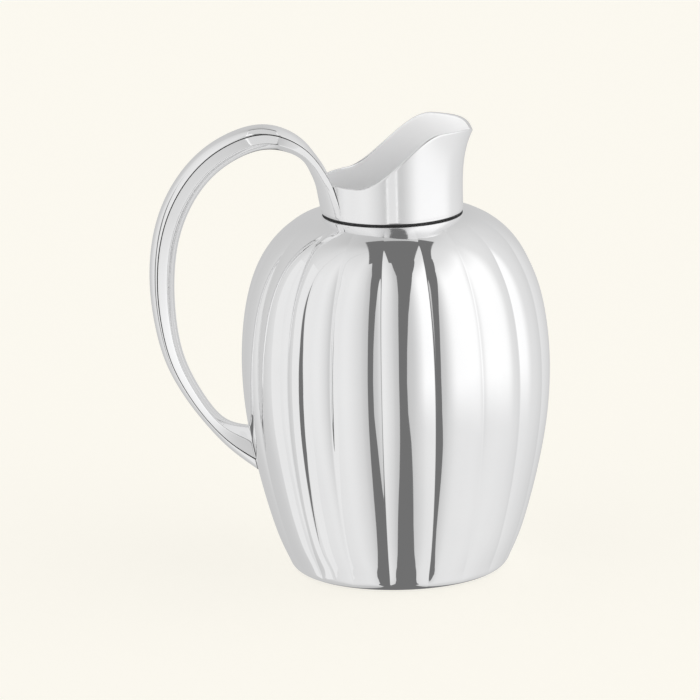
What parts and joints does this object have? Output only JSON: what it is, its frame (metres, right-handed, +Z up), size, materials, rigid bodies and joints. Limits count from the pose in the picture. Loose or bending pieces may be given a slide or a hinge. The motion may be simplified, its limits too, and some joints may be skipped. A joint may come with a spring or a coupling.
{
  "type": "water pitcher",
  "caption": "Polished steel water pitcher with a fluted melon-shaped body, a collar rising into a pouring spout, and a hollow loop handle.",
  "frame": {"origin": "centre of the underside, on the surface the pitcher stands on", "axes": "+Z up, +X towards the spout, the handle over -X; the X-Z plane is the pitcher's plane of symmetry"},
  "size_m": [0.1861, 0.145, 0.2145],
  "materials": {
    "polished_steel": "mirror-polished stainless steel",
    "plain_steel": "fine satin stainless steel",
    "dark_seal": "matte black"
  },
  "bodies": {
    "root": {"body_shell": "polished_steel", "base_plate": "plain_steel", "neck_sleeve": "plain_steel", "neck_seal": "dark_seal", "spout_collar": "polished_steel", "handle_outer_shell": "polished_steel", "handle_inner_shell": "polished_steel", "handle_foot": "polished_steel"}
  },
  "joints": []
}
